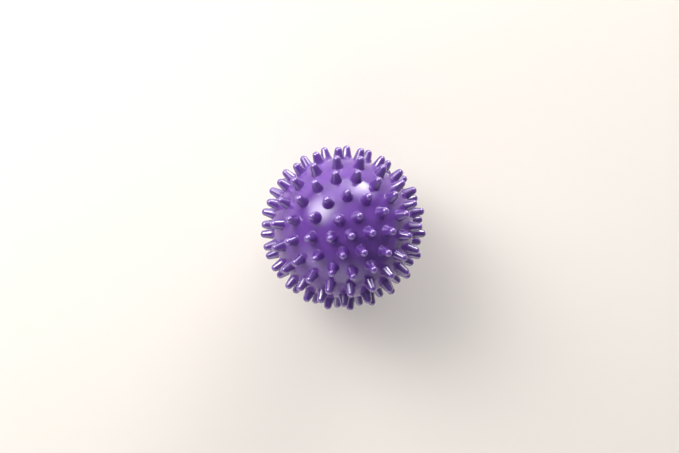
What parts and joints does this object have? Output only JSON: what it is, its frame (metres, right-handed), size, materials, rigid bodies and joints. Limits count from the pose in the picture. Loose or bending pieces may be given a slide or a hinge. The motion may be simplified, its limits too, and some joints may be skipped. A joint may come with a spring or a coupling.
{
  "type": "massage ball",
  "caption": "Soft air-filled massage ball with blunt cone-shaped spikes in staggered rings all over its skin and a flush self-sealing needle valve at a pole.",
  "frame": {"origin": "the ball's centre, midway between the poles of its round skin and on the mould's parting plane", "axes": "+Z points at the pole that carries a spike and -Z at the pole with the needle valve; the mould parts on Z = 0; the first spike of the ring next to the +Z pole stands 7 degrees from +X towards +Y"},
  "size_m": [0.079, 0.0792, 0.0787],
  "materials": {
    "skin": "gloss",
    "collar": "satin",
    "plug": "satin"
  },
  "bodies": {
    "root": {"ball_skin": "skin", "valve_collar": "collar", "valve_plug": "plug"}
  },
  "joints": []
}
